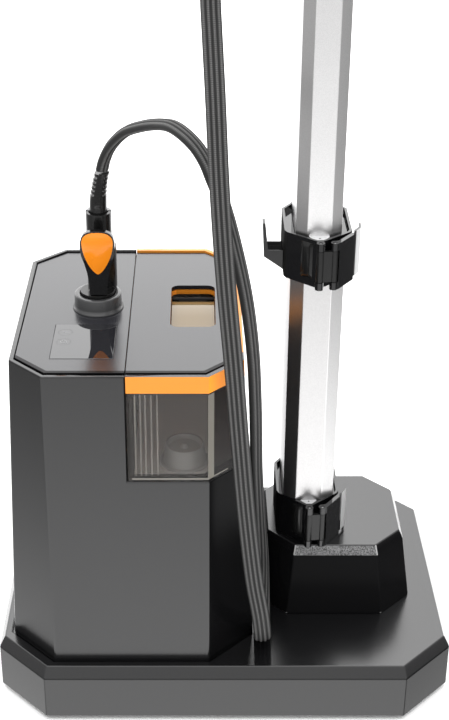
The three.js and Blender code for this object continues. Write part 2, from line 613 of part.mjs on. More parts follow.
// ---- Pole head, hanger arms and handset ----------------------------------------------------------
function buildHead(group) {
  const outline = inset(tubeOutline(UPPER_TUBE), -HEAD_WALL);
  const top = HEAD_Z + HEAD_HEIGHT;
  let head = prism(outline, HEAD_Z, top)
    .subtract(prism(inset(tubeOutline(UPPER_TUBE), -TUBE_CLEARANCE), HEAD_Z - 1, UPPER_TUBE.z1 + GAP));
  const shoulder = 12;
  head = head.subtract(block(POLE.x - 40, POLE.x + 40, POLE.y - 8, POLE.y + 8,
    top - shoulder, top + 1));
  const arms = { left: -1, right: 1 };
  const pivotZ = top - 5;
  const armX = (side) => POLE.x + side * ARM.offset;
  const armHole = (side) => barY(ARM.bore, armX(side), POLE.y - 60, POLE.y + 60, pivotZ);
  for (const side of Object.values(arms)) {
    head = head.subtract(armHole(side));
  }
  place(group, 'pole_head', head, FINISH.gloss);

  for (const [name, side] of Object.entries(arms)) {
    const arm = [point(-5, -4), point(5, -4), point(5.5, 60), point(4, 112), point(-4, 112),
      point(-5.5, 60)].map((p) => point(armX(side) + p.x, pivotZ + p.y));
    const solid = standing(arm, POLE.y - 6.5, POLE.y + 6.5)
      .subtract(armHole(side));
    place(group, `hanger_arm_${name}`, solid, FINISH.casing);
    const pin = barY(ARM.pin, armX(side), POLE.y - 30, POLE.y + 30, pivotZ);
    place(group, `hanger_pin_${name}`, pin, FINISH.steel);
  }

  const yoke = 22.5;
  const cradle = [
    point(57.8, -34), point(57.8, -14), point(20, -40), point(HANDLE.x + 10, HANDLE.y + yoke + 9),
    point(HANDLE.x - 16, HANDLE.y + yoke + 9), point(HANDLE.x - yoke - 4, HANDLE.y + 14),
    point(HANDLE.x - yoke - 4, HANDLE.y - 16), point(HANDLE.x - yoke + 2, HANDLE.y - 16),
    point(HANDLE.x - yoke + 2, HANDLE.y + 12), point(HANDLE.x - 9, HANDLE.y + yoke),
    point(HANDLE.x + 9, HANDLE.y + yoke), point(HANDLE.x + yoke - 2, HANDLE.y + 12),
    point(HANDLE.x + yoke - 2, HANDLE.y - 16), point(HANDLE.x + yoke + 4, HANDLE.y - 16),
    point(HANDLE.x + yoke + 4, HANDLE.y + 14), point(22, -60),
  ];
  place(group, 'handset_cradle', prism(cradle, HEAD_Z + 2, HEAD_Z + 14), FINISH.gloss);
}

function buildHandset(group) {
  const { x, y, z, radius } = HANDLE;
  const ball = 9;
  const swivel = turned([
    [0, -16.7], [9, -16.7], [7.5, -6], [8.2, -3.5], [ball, 0], [7.8, 4.5], [4.5, 7.8], [0, ball],
  ], x, y, z, 16);
  place(group, 'hose_end_swivel', swivel, FINISH.rubber);

  const handset = new THREE.Group();
  group.add(handset);
  const headLow = 103;
  let body = turned([
    [0, 0], [14, 0], [radius, 12], [radius, 60], [radius - 1, 90], [radius + 1, headLow + 4],
    [0, headLow + 4],
  ], x, y, z, 20);
  const socket = new THREE.SphereGeometry(ball + 0.7, 16, 12).rotateX(Math.PI / 2);
  body = body.subtract(toSolid(socket.translate(x, y, z)));
  const side = [point(y + 20, z + headLow), point(y + 24, z + 140), point(y + 8, z + 205),
    point(y - 8, z + 212), point(y - 20, z + 200), point(y - 26, z + headLow + 8),
    point(y - 20, z + headLow)];
  body = body.add(sideways(side, x - 34, x + 34));
  const trigger = { x0: x - 6, x1: x + 6, z0: z + 64, z1: z + 92 };
  body = body.subtract(block(trigger.x0 - 0.5, trigger.x1 + 0.5, y - 30, y - 9,
    trigger.z0 - 0.5, trigger.z1 + 0.5));
  place(handset, 'handset_body', body, FINISH.casing);
  const slider = block(trigger.x0, trigger.x1, y - 20, y - 13, trigger.z0, trigger.z1);
  place(handset, 'steam_trigger', slider, FINISH.orange);
  const plateSide = [point(y - 26.5, z + headLow + 12), point(y - 20.4, z + 199),
    point(y - 23.4, z + 199), point(y - 29.5, z + headLow + 12)];
  place(handset, 'steam_plate', sideways(plateSide, x - 31, x + 31), FINISH.steel);
}

// ---- Steam hose ------------------------------------------------------------------------------
// Route of the hose's centre, from the connector over the tank, down beside the pedestal,
// round on the base and up to the handset.
const HOSE_ROUTE = [
  [-119, 12, 522.8], [-116.4, 11.7, 533], [-109, 7, 549], [-95, -4, 566], [-79, -20, 577],
  [-63, -38, 585], [-50, -56, 589], [-37, -75, 586], [-27, -88, 579], [-20, -98, 570],
  [-14, -106, 557], [-5, -114, 537], [6, -121, 498], [16, -123, 450], [23, -119, 394],
  [26.5, -111, 338], [28.5, -101, 290], [30, -92, 250], [34, -78, 190], [38, -67, 140],
  [39.5, -66, 110], [39.5, -78, 83], [38.5, -100, 71], [38, -125, 73], [37, -146, 92],
  [34, -154, 122], [27.5, -153, 160], [19, -150, 232], [11, -148, 320], [5, -148, 392],
  [-4, -148, 490], [-9.5, -140, 570], [-13, -126, 640], [-16, -105, 692], [-17, -98, 710],
  [-17, -97, 724.6],
];

function buildHose(group) {
  const route = new THREE.CatmullRomCurve3(
    HOSE_ROUTE.map((p) => new THREE.Vector3(...p)), false, 'centripetal');
  const steps = 78;
  const turnStart = 0.36;
  const turnEnd = 0.58;
  // The flat section stands edge-on over the arc and turns face-on before the lower bend.
  route.computeFrenetFrames = (count) => {
    const frames = { tangents: [], normals: [], binormals: [] };
    for (let i = 0; i <= count; i += 1) {
      const u = i / count;
      const tangent = route.getTangentAt(u);
      const turn = THREE.MathUtils.smoothstep(u, turnStart, turnEnd) * Math.PI / 2;
      const across = new THREE.Vector3(0.55 + 0.45 * Math.sin(turn), Math.cos(turn), 0);
      const wide = across.addScaledVector(tangent, -across.dot(tangent)).normalize();
      frames.tangents.push(tangent);
      frames.normals.push(wide);
      frames.binormals.push(new THREE.Vector3().crossVectors(tangent, wide));
    }
    return frames;
  };
  const sides = 10;
  const section = new THREE.EllipseCurve(0, 0, HOSE_WIDTH / 2, HOSE_THICK / 2);
  const shape = new THREE.Shape(section.getPoints(sides).slice(0, sides));
  const options = { steps, extrudePath: route, bevelEnabled: false };
  place(group, 'steam_hose', toSolid(new THREE.ExtrudeGeometry(shape, options)), FINISH.braid);
}

const steamer = new THREE.Group();
buildBase(steamer);
buildPedestal(steamer);
buildCasing(steamer);
buildTank(steamer);
buildConnector(steamer);
buildPole(steamer);
buildHead(steamer);
buildHandset(steamer);
buildHose(steamer);

export default steamer;
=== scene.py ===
import json
import math
import bmesh
import bpy
from mathutils import Matrix, Vector

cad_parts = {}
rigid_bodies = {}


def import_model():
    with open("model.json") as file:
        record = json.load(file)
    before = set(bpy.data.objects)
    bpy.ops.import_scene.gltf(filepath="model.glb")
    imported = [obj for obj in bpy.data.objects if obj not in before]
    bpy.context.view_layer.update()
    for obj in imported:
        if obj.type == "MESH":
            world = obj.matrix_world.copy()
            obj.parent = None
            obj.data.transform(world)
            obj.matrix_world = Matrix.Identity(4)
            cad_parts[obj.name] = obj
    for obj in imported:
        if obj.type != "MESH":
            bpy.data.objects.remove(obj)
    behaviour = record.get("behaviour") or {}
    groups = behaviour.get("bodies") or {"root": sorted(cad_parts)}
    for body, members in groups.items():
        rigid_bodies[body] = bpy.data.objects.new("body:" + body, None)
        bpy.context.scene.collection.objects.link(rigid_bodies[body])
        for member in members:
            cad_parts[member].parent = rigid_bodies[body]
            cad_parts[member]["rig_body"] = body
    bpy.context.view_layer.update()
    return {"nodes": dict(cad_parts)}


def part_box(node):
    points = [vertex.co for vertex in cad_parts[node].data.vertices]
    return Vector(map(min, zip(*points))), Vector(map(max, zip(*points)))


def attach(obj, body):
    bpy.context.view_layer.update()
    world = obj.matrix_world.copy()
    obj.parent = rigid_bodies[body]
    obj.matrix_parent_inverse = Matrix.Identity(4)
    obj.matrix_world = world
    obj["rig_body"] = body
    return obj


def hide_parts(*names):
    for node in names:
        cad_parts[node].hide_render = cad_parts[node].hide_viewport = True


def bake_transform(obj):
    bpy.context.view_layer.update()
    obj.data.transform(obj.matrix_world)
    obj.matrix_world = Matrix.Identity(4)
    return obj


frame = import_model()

MM = 0.001
scene = bpy.context.scene
nodes = frame["nodes"]


# ---- Camera ----------------------------------------------------------------------------------
CAMERA_PLACE = (-0.0274, -1.2645, 1.0)
CAMERA_TILT = 27.39          # degrees below the horizon
CAMERA_LENS = 70.795
CAMERA_SHIFT = (0.0369, -0.0265)

camera_data = bpy.data.cameras.new("camera")
camera_data.lens = CAMERA_LENS
camera_data.sensor_width = 36
camera_data.shift_x, camera_data.shift_y = CAMERA_SHIFT
camera_data.clip_end = 30
camera = bpy.data.objects.new("camera", camera_data)
scene.collection.objects.link(camera)
camera.location = CAMERA_PLACE
camera.rotation_euler = (math.radians(90 - CAMERA_TILT), 0, 0)
scene.camera = camera


# ---- Node helpers ----------------------------------------------------------------------------
MIXED_COLOR = 2              # the Mix node's colour output


class Nodes:
    """A short way to build a material or world: add nodes, link them by name."""

    def __init__(self, owner):
        owner.use_nodes = True
        self.tree = owner.node_tree
        self.tree.nodes.clear()

    def add(self, kind, **settings):
        """A new node. settings are its own properties, or its inputs with _ for a space."""
        node = self.tree.nodes.new(kind)
        for key, value in settings.items():
            if hasattr(node, key):
                setattr(node, key, value)
            else:
                node.inputs[key.replace("_", " ")].default_value = value
        return node

    def link(self, source, target, output=0, socket=0):
        self.tree.links.new(source.outputs[output], target.inputs[socket])

    def math(self, operation, first, second=None):
        node = self.add("ShaderNodeMath", operation=operation)
        for slot_index, value in enumerate((first, second)):
            if value is None:
                continue
            if isinstance(value, (int, float)):
                node.inputs[slot_index].default_value = value
            else:
                self.tree.links.new(value, node.inputs[slot_index])
        return node.outputs[0]

    def shader(self, color, **settings):
        """A Principled shader, already joined to the material's output."""
        shader = self.add("ShaderNodeBsdfPrincipled", **settings)
        shader.inputs["Base Color"].default_value = (*color, 1)
        out = self.add("ShaderNodeOutputMaterial")
        self.link(shader, out, "BSDF", "Surface")
        return shader

    def two_tone(self, shader, first, second, factor):
        """Base colour that goes from first to second as factor goes from 0 to 1."""
        mix = self.add("ShaderNodeMix", data_type="RGBA")
        mix.inputs["A"].default_value = (*first, 1)
        mix.inputs["B"].default_value = (*second, 1)
        self.tree.links.new(factor, mix.inputs["Factor"])
        self.link(mix, shader, MIXED_COLOR, "Base Color")

    def uneven_roughness(self, shader, place, scale, detail, low, high):
        """Roughness that drifts slowly over the piece."""
        slow = self.add("ShaderNodeTexNoise", Scale=scale, Detail=detail)
        self.link(place, slow, "Object", "Vector")
        spread = self.add("ShaderNodeMapRange", To_Min=low, To_Max=high)
        self.link(slow, spread, "Fac", "Value")
        self.link(spread, shader, "Result", "Roughness")


GRAIN_DEPTH = 0.0002         # metres
BRAID_DEPTH = 0.0005
CLEAR_ROUGHNESS = (0.03, 0.08)


def surface(name, color, roughness, grain=0.0, grain_size=0.0008, wear=0.06,
            metallic=0.0, ior=1.5, spots=0.0):
    """Moulded plastic or metal. grain is the strength of a fine bump, wear the share by which
    the roughness drifts, and spots the share by which the colour follows the grain."""
    material = bpy.data.materials.new(name)
    n = Nodes(material)
    shader = n.shader(color, Metallic=metallic, IOR=ior)
    place = n.add("ShaderNodeTexCoord")
    n.uneven_roughness(shader, place, 9.0, 3.0, roughness * (1 - wear), roughness * (1 + wear))
    if grain > 0:
        fine = n.add("ShaderNodeTexNoise", Scale=1 / grain_size, Detail=2.0)
        n.link(place, fine, "Object", "Vector")
        bump = n.add("ShaderNodeBump", Strength=grain, Distance=GRAIN_DEPTH)
        n.link(fine, bump, "Fac", "Height")
        n.link(bump, shader, "Normal", "Normal")
        if spots > 0:
            sharpen = n.add("ShaderNodeMapRange", From_Min=0.38, From_Max=0.62)
            n.link(fine, sharpen, "Fac", "Value")
            n.two_tone(shader, [c * (1 - spots) for c in color],
                       [min(1, c * (1 + spots)) for c in color], sharpen.outputs["Result"])
    return material


def clear_plastic(name, tint, cover):
    """Tinted see-through plastic: cover is how much of each wall's own colour shows."""
    material = bpy.data.materials.new(name)
    n = Nodes(material)
    shader = n.shader(tint, Alpha=cover)
    n.uneven_roughness(shader, n.add("ShaderNodeTexCoord"), 14.0, 2.0, *CLEAR_ROUGHNESS)
    return material


HOSE_RIBS = 4                # ribs over the hose's wide face


def braid(name, dark, light, strands, pitch):
    """Woven sleeve: two families of diagonal strands over the hose's own UV. V is in metres,
    and the strands cross every pitch."""
    material = bpy.data.materials.new(name)
    n = Nodes(material)
    place = n.add("ShaderNodeUVMap")
    split = n.add("ShaderNodeSeparateXYZ")
    n.link(place, split, "UV", "Vector")
    around = n.math("MULTIPLY", split.outputs["X"], strands * math.tau)
    along = n.math("MULTIPLY", split.outputs["Y"], math.tau / pitch)
    one = n.math("SINE", n.math("ADD", around, along))
    two = n.math("SINE", n.math("SUBTRACT", around, along))
    weave = n.math("MULTIPLY", one, two)
    raised = n.math("ADD", n.math("MULTIPLY", weave, 0.5), 0.5)
    fuzz = n.add("ShaderNodeTexNoise", Scale=900.0, Detail=2.0)
    body = n.add("ShaderNodeTexCoord")
    n.link(body, fuzz, "Object", "Vector")
    flat = n.math("COSINE", n.math("MULTIPLY", split.outputs["X"], math.tau))
    ribs = n.math("COSINE", n.math("MULTIPLY", n.math("ADD", flat, 1.0), math.pi * HOSE_RIBS))
    crest = n.math("POWER", n.math("MULTIPLY", n.math("SUBTRACT", 1.0, ribs), 0.5), 1.5)
    woven = n.math("ADD", raised, n.math("MULTIPLY", fuzz.outputs["Fac"], 0.4))
    height = n.math("MULTIPLY", woven, crest)
    bump = n.add("ShaderNodeBump", Strength=0.8, Distance=BRAID_DEPTH)
    n.tree.links.new(height, bump.inputs["Height"])
    shader = n.shader(light, Roughness=0.5, IOR=1.16)
    # The colour is darker down in the grooves between strands and ribs: partly the weave's own
    # look, partly painted shade
    n.two_tone(shader, dark, light, height)
    n.link(bump, shader, "Normal", "Normal")
    return material


SATIN = surface("satin_black", (0.006, 0.006, 0.0065), 0.24, grain=0.1, grain_size=0.0006)
COLLAR = surface("collar_satin", (0.035, 0.035, 0.036), 0.24, grain=0.1, grain_size=0.0006)
BASE_SATIN = surface("base_satin", (0.004, 0.004, 0.0044), 0.22, grain=0.1, grain_size=0.0006)
GRAINED = surface("grained_black", (0.10, 0.10, 0.101), 0.4, grain=1.0, grain_size=0.0011,
                  spots=0.95)
DECK = surface("deck_satin", (0.012, 0.012, 0.015), 0.22, grain=0.05, grain_size=0.0005)
GLOSS = surface("gloss_black", (0.003, 0.003, 0.0034), 0.07, grain=0.02, grain_size=0.004)
PANEL = surface("panel_gloss", (0.01, 0.01, 0.012), 0.03, grain=0.01, grain_size=0.006,
                ior=1.65)
SEMI = surface("semi_gloss_black", (0.006, 0.006, 0.006), 0.16, grain=0.05, grain_size=0.0007,
               ior=1.36)
# Painted shade: a darker, barely reflecting copy of the black satin, for faces that should look
# shaded
SHADED = surface("painted_shade_satin", (0.003, 0.003, 0.0033), 0.24, grain=0.08, grain_size=0.0006,
                 ior=1.18)
# Painted shade: a black that hardly reflects, for faces that should look dark
MATTE_SHADE = surface("black_painted_shade", (0.01, 0.01, 0.01), 0.6, grain=0.2, ior=1.03)
RUBBER = surface("soft_rubber", (0.014, 0.014, 0.014), 0.6, grain=0.3, grain_size=0.001)
ORANGE = surface("orange_plastic", (0.62, 0.215, 0.02), 0.3, grain=0.05, grain_size=0.0006,
                 ior=1.35)
# Painted light: a brighter copy of the orange plastic, for the rim's lit front corner
ORANGE_LIT = surface("orange_painted_light", (0.97, 0.31, 0.03), 0.3, grain=0.05, grain_size=0.0006,
                     ior=1.35)
ORANGE_GLOSS = surface("orange_gloss", (0.74, 0.215, 0.008), 0.1, ior=1.42)
CLEAR = clear_plastic("smoky_clear", (0.04, 0.036, 0.033), 0.28)
# Painted shade: a darker, less see-through copy of the smoky clear plastic
CLEAR_SHADED = clear_plastic("clear_painted_shade", (0.012, 0.009, 0.009), 0.62)
# Painted highlight: a pale opaque finish for strips along the tank's edges
CLEAR_HIGHLIGHT = surface("tank_edge_painted_highlight", (0.17, 0.16, 0.14), 0.2)
SMOKE = surface("smoked_flap", (0.15, 0.105, 0.05), 0.07, ior=1.38)
# Painted light and shade inside the tank: a pale floor plate and a dark sheet at its back
TANK_FLOOR_LIGHT = surface("tank_floor", (0.42, 0.39, 0.36), 0.3, grain=0.05)
TANK_BACK_SHADE = surface("tank_back", (0.13, 0.122, 0.115), 0.35, grain=0.05)
VALVE_GREY = surface("valve_grey", (0.26, 0.25, 0.235), 0.22, grain=0.05)
# Painted shade: a black disc that stands for the inside of a small hole
HOLE_SHADE = surface("hole_painted_shade", (0.002, 0.002, 0.002), 0.6)
RIM_CLEAR = clear_plastic("pale_clear", (0.5, 0.47, 0.42), 0.5)
# Painted shade: a less glossy copy of the black satin, for the left front chamfers
SATIN_SIDE_SHADE = surface("satin_painted_side_shade", (0.005, 0.005, 0.0053), 0.24, grain=0.1, grain_size=0.0006,
                     ior=1.3)
SILVER = surface("anodised_silver", (0.34, 0.34, 0.342), 0.32, grain=0.25, grain_size=0.0007,
                 metallic=1.0, spots=0.08)
# Painted light: brighter copies of the anodised silver, for faces that should look lit
SILVER_LIT = surface("silver_painted_highlight", (0.74, 0.735, 0.735), 0.32, grain=0.25,
                     grain_size=0.0007, metallic=1.0, spots=0.05)
SILVER_PAINTED_LIGHT = surface("silver_painted_light", (0.5, 0.495, 0.495), 0.32, grain=0.25,
                      grain_size=0.0007, metallic=1.0, spots=0.05)
# Painted highlight: a pale finish for edges and faces that should look lit
PAINTED_HIGHLIGHT = surface("painted_highlight_edge", (0.3, 0.3, 0.3), 0.3)
CAST = surface("pale_casting", (0.5, 0.5, 0.505), 0.35, grain=0.3)
STEEL = surface("steel", (0.42, 0.42, 0.43), 0.28, metallic=1.0)
BRASS = surface("brass", (0.42, 0.29, 0.12), 0.3, metallic=1.0)
GREY = surface("grey_plastic", (0.16, 0.16, 0.165), 0.35, grain=0.1)
BOARD = surface("circuit_board", (0.02, 0.12, 0.05), 0.5, grain=0.2)
ICON = surface("pale_print", (0.16, 0.16, 0.165), 0.4)
BRAID = braid("braided_sleeve", (0.02, 0.02, 0.02), (0.13, 0.129, 0.128), 22, 0.0034)


# ---- Mesh helpers ----------------------------------------------------------------------------
SHARP = 35                   # degrees: edges above this stay sharp in the shading
WELD = 1e-5                  # metres
FLAT = 1.5                   # degrees: faces that meet at less than this are one flat face


def shade(mesh, sharp=SHARP):
    mesh.shade_smooth()
    mesh.set_sharp_from_angle(angle=math.radians(sharp))


def from_bmesh(name, bm, material, sharp=SHARP):
    """A new object from bm, with one finish."""
    mesh = bpy.data.meshes.new(name)
    bmesh.ops.recalc_face_normals(bm, faces=bm.faces)
    bm.to_mesh(mesh)
    bm.free()
    obj = bpy.data.objects.new(name, mesh)
    scene.collection.objects.link(obj)
    mesh.materials.append(material)
    shade(mesh, sharp)
    return obj


def weighted(obj):
    """Lets the large flat faces set the shading, so that they look flat."""
    obj.modifiers.new("flat_faces", "WEIGHTED_NORMAL").keep_sharp = True
    return obj


def box_of(node):
    """A CAD node's lowest and highest corners."""
    low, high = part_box(node)
    return Vector(low), Vector(high)


def box_mm(node):
    low, high = box_of(node)
    return low / MM, high / MM


def centre_of(node):
    low, high = box_of(node)
    return (low + high) / 2


def body_of(node):
    return nodes[node]["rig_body"]


def stand_for(obj, node):
    """obj is shown in place of a CAD node and rides on its body."""
    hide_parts(node)
    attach(obj, body_of(node))


def node_bmesh(node):
    """A CAD node's mesh in the row frame, welded, with its flat faces whole."""
    source = nodes[node]
    bm = bmesh.new()
    bm.from_mesh(source.data)
    bm.transform(source.matrix_world)
    bmesh.ops.remove_doubles(bm, verts=bm.verts, dist=WELD)
    bmesh.ops.dissolve_limit(bm, angle_limit=math.radians(FLAT), verts=bm.verts,
                             edges=bm.edges)
    return bm


def round_edges(bm, radius, shortest, segments, corner=24):
    """Fillets every edge that is sharper than corner degrees and longer than shortest."""
    edges = [e for e in bm.edges if len(e.link_faces) == 2
             and e.calc_length() > shortest and e.calc_face_angle(0) > math.radians(corner)]
    if edges:
        bmesh.ops.bevel(bm, geom=edges, offset=radius, segments=segments, profile=0.5,
                        affect="EDGES", clamp_overlap=True, offset_type="OFFSET")


REFINED = {}                 # CAD node name: the finer copy that stands for it


def refine(node, material, radius, shortest, segments, corner=24, sharp=40):
    """A finer copy of a CAD node, filleted, which stands for it. Sizes are in millimetres."""
    bm = node_bmesh(node)
    round_edges(bm, radius * MM, shortest * MM, segments, corner)
    obj = weighted(from_bmesh(node + "_shell", bm, material, sharp=sharp))
    stand_for(obj, node)
    REFINED[node] = obj
    return obj


def recolour(node, material):
    """A CAD node that is shown as it is, with its own finish."""
    mesh = nodes[node].data
    mesh.materials.clear()
    mesh.materials.append(material)
    shade(mesh)
    nodes[node].modifiers.new("weld", "WELD").merge_threshold = WELD


def paint(obj, material, chosen):
    """A second finish for the faces that chosen(centre, normal) picks."""
    obj.data.materials.append(material)
    for face in obj.data.polygons:
        if chosen(face.center, face.normal):
            face.material_index = len(obj.data.materials) - 1


def loft(name, rings, material, sharp=SHARP, uv=None):
    """A closed skin over rings of points. uv gives (u, v) for a ring's and a point's number."""
    bm = bmesh.new()
    rows = [[bm.verts.new(p) for p in ring] for ring in rings]
    layer = bm.loops.layers.uv.new("along") if uv else None
    count = len(rings[0])
    for i in range(len(rows) - 1):
        for j in range(count):
            k = (j + 1) % count
            face = bm.faces.new((rows[i][j], rows[i][k], rows[i + 1][k], rows[i + 1][j]))
            if layer:
                corners = ((i, j), (i, j + 1), (i + 1, j + 1), (i + 1, j))
                for loop, (row, column) in zip(face.loops, corners):
                    loop[layer].uv = uv(row, column)
    bm.faces.new(reversed(rows[0]))
    bm.faces.new(rows[-1])
    return from_bmesh(name, bm, material, sharp)


def turned(name, profile, centre, material, sides, sharp=SHARP):
    """A round piece from (radius, height) pairs in millimetres, about an upright line."""
    bm = bmesh.new()
    rows = []
    for radius, height in profile:
        if radius == 0:
            rows.append([bm.verts.new((0, 0, height * MM))])
            continue
        rows.append([bm.verts.new((radius * MM * math.cos(math.tau * k / sides),
                                   radius * MM * math.sin(math.tau * k / sides), height * MM))
                     for k in range(sides)])
    for low, high in zip(rows, rows[1:]):
        for k in range(sides):
            m = (k + 1) % sides
            if len(low) == 1:
                bm.faces.new((low[0], high[m], high[k]))
            elif len(high) == 1:
                bm.faces.new((low[k], low[m], high[0]))
            else:
                bm.faces.new((low[k], low[m], high[m], high[k]))
    bm.transform(Matrix.Translation(centre))
    return from_bmesh(name, bm, material, sharp)


def plate(name, outline, thickness, place, material, radius=0.0):
    """A flat piece: an outline in millimetres, given a thickness and rounded edges, with its
    lower face at place."""
    bm = bmesh.new()
    face = bm.faces.new([bm.verts.new((x * MM, y * MM, 0)) for x, y in outline])
    made = bmesh.ops.extrude_face_region(bm, geom=[face])
    top = [v for v in made["geom"] if isinstance(v, bmesh.types.BMVert)]
    bmesh.ops.translate(bm, verts=top, vec=(0, 0, thickness * MM))
    if radius:
        bmesh.ops.recalc_face_normals(bm, faces=bm.faces)
        round_edges(bm, radius * MM, shortest=0, segments=2)
    bm.transform(Matrix.Translation(place))
    return weighted(from_bmesh(name, bm, material))


# ---- Hose ------------------------------------------------------------------------------------
HOSE_ROUTE = [
    (-119, 12, 522.8), (-116.4, 11.7, 533), (-109, 7, 549), (-95, -4, 566), (-79, -20, 577),
    (-63, -38, 585), (-50, -56, 589), (-37, -75, 586), (-27, -88, 579), (-20, -98, 570),
    (-14, -106, 557), (-5, -114, 537), (6, -121, 498), (16, -123, 450), (23, -119, 394),
    (26.5, -111, 338), (28.5, -101, 290), (30, -92, 250), (34, -78, 190), (38, -67, 140),
    (39.5, -66, 110), (39.5, -78, 83), (38.5, -100, 71), (38, -125, 73), (37, -146, 92),
    (34, -154, 122), (27.5, -153, 160), (19, -150, 232), (11, -148, 320), (5, -148, 392),
    (-4, -148, 490), (-9.5, -140, 570), (-13, -126, 640), (-16, -105, 692), (-17, -98, 710),
    (-17, -97, 724.6),
]
HOSE_WIDTH = 17.5
HOSE_THICK = 10.5
HOSE_SIDES = 72
HOSE_GROOVE = 0.26           # depth of the grooves between the ribs, as a share
HOSE_SPAN_STEPS = 24         # pieces of the curve between two points of the route
HOSE_STEP = 0.003            # metres between rings
HOSE_TURN = (0.36, 0.58)     # the flat hose turns face-on between these shares of its length
HOSE_LEAN = 0.55             # how far its wide side points right before that turn


def smoothstep(x, start, end):
    """0 before start, 1 after end, and smooth between them."""
    t = min(1, max(0, (x - start) / (end - start)))
    return t * t * (3 - 2 * t)


def centripetal(points, per_span):
    """A centripetal Catmull-Rom line through points, per_span pieces between each pair."""
    points = [Vector(p) for p in points]
    padded = [2 * points[0] - points[1], *points, 2 * points[-1] - points[-2]]
    line = []
    for p0, p1, p2, p3 in zip(padded, padded[1:], padded[2:], padded[3:]):
        t1 = math.sqrt((p1 - p0).length)
        t2 = t1 + math.sqrt((p2 - p1).length)
        t3 = t2 + math.sqrt((p3 - p2).length)
        for i in range(per_span):
            t = t1 + (t2 - t1) * i / per_span
            a1 = p0 * ((t1 - t) / t1) + p1 * (t / t1)
            a2 = p1 * ((t2 - t) / (t2 - t1)) + p2 * ((t - t1) / (t2 - t1))
            a3 = p2 * ((t3 - t) / (t3 - t2)) + p3 * ((t - t2) / (t3 - t2))
            b1 = a1 * ((t2 - t) / t2) + a2 * (t / t2)
            b2 = a2 * ((t3 - t) / (t3 - t1)) + a3 * ((t - t1) / (t3 - t1))
            line.append(b1 * ((t2 - t) / (t2 - t1)) + b2 * ((t - t1) / (t2 - t1)))
    line.append(points[-1])
    return line


def evenly(line, step):
    """The same line with points a step apart, and its length."""
    total = sum((b - a).length for a, b in zip(line, line[1:]))
    count = round(total / step)
    gap = total / count
    out, passed, target = [line[0]], 0.0, gap
    for a, b in zip(line, line[1:]):
        length = (b - a).length
        while target <= passed + length + 1e-12 and len(out) < count:
            out.append(a.lerp(b, (target - passed) / length))
            target += gap
        passed += length
    out.append(line[-1])
    return out, total


def build_hose():
    """The flat ribbed hose. Gives the object, the line it follows and its length."""
    line = centripetal([[c * MM for c in p] for p in HOSE_ROUTE], HOSE_SPAN_STEPS)
    path, length = evenly(line, HOSE_STEP)
    rings = []
    for i, middle in enumerate(path):
        ahead = path[min(i + 1, len(path) - 1)] - path[max(i - 1, 0)]
        tangent = ahead.normalized()
        turn = smoothstep(i / (len(path) - 1), *HOSE_TURN) * math.pi / 2
        across = Vector((HOSE_LEAN + (1 - HOSE_LEAN) * math.sin(turn), math.cos(turn), 0))
        wide = (across - tangent * across.dot(tangent)).normalized()
        thin = tangent.cross(wide)
        ring = []
        for k in range(HOSE_SIDES):
            angle = math.tau * k / HOSE_SIDES
            flat = math.cos(angle)
            groove = (0.5 - 0.5 * math.cos((flat + 1) * math.pi * HOSE_RIBS)) ** 0.6
            swell = 1 - HOSE_GROOVE * (1 - groove) * abs(math.sin(angle)) ** 0.5
            ring.append(middle + wide * (flat * HOSE_WIDTH / 2 * MM)
                        + thin * (math.sin(angle) * HOSE_THICK / 2 * MM * swell))
        rings.append(ring)
    step = length / (len(path) - 1)
    hose = loft("braided_hose", rings, BRAID, sharp=80,
                uv=lambda row, column: (column / HOSE_SIDES, row * step))
    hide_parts("steam_hose")
    return hose, path, length


# ---- Base and pedestal -----------------------------------------------------------------------
FACING = 0.3                 # a unit normal's share along an axis, from which it faces that way
EDGE_AREA = 4e-5             # square metres: the narrow faces of a rounded edge are below this
BEVEL = (0.0095, 0.002)      # the pedestal's sloped band, metres below its top


def build_base():
    cover = refine("base_cover", BASE_SATIN, radius=1.2, shortest=6, segments=3)
    # Painted shade on the right and left front chamfers, and a painted highlight on the right top
    # bevel
    paint(cover, SHADED, lambda centre, normal: normal.x > FACING and normal.y < -FACING
          and normal.z < FACING)
    paint(cover, SATIN_SIDE_SHADE, lambda centre, normal: normal.x < -FACING and normal.y < -FACING
          and normal.z < FACING)
    paint(cover, PAINTED_HIGHLIGHT, lambda centre, normal: normal.x > 0.5 and normal.z > FACING
          and abs(normal.y) < 0.1)
    pedestal = refine("pedestal_cover", BASE_SATIN, radius=1.1, shortest=6, segments=3)
    finish_pedestal(pedestal)
    for node in nodes:
        if node.startswith(("foot_front", "foot_rear")):
            recolour(node, RUBBER)
    recolour("base_pan", SATIN)
    recolour("ballast_plate", STEEL)


def finish_pedestal(pedestal):
    """Painted shade in front and left, a coarse sloped band in front, and painted highlights on
    the corner edges.
    """
    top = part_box("pedestal_cover")[1][2]
    paint(pedestal, SHADED, lambda centre, normal: normal.z < 0.6
          and (normal.y < -FACING or normal.x < -FACING))
    paint(pedestal, GRAINED, lambda centre, normal: 0.25 < normal.z < 0.6 and normal.y < -0.75
          and top - BEVEL[0] < centre.z < top - BEVEL[1])
    # Painted highlight on the narrow faces of the front corner fillets
    pedestal.data.materials.append(PAINTED_HIGHLIGHT)
    for face in pedestal.data.polygons:
        corner = 0.15 < abs(face.normal.x) < 0.6 and face.normal.y < -0.5
        if corner and face.area < EDGE_AREA and face.normal.z < 0.6:
            face.material_index = len(pedestal.data.materials) - 1


# ---- Casing, deck and panel ------------------------------------------------------------------
KEY_GROWTH = 0.14            # the key caps are wider than their CAD nodes, to thin the gap
ICON_HEIGHT = 0.12


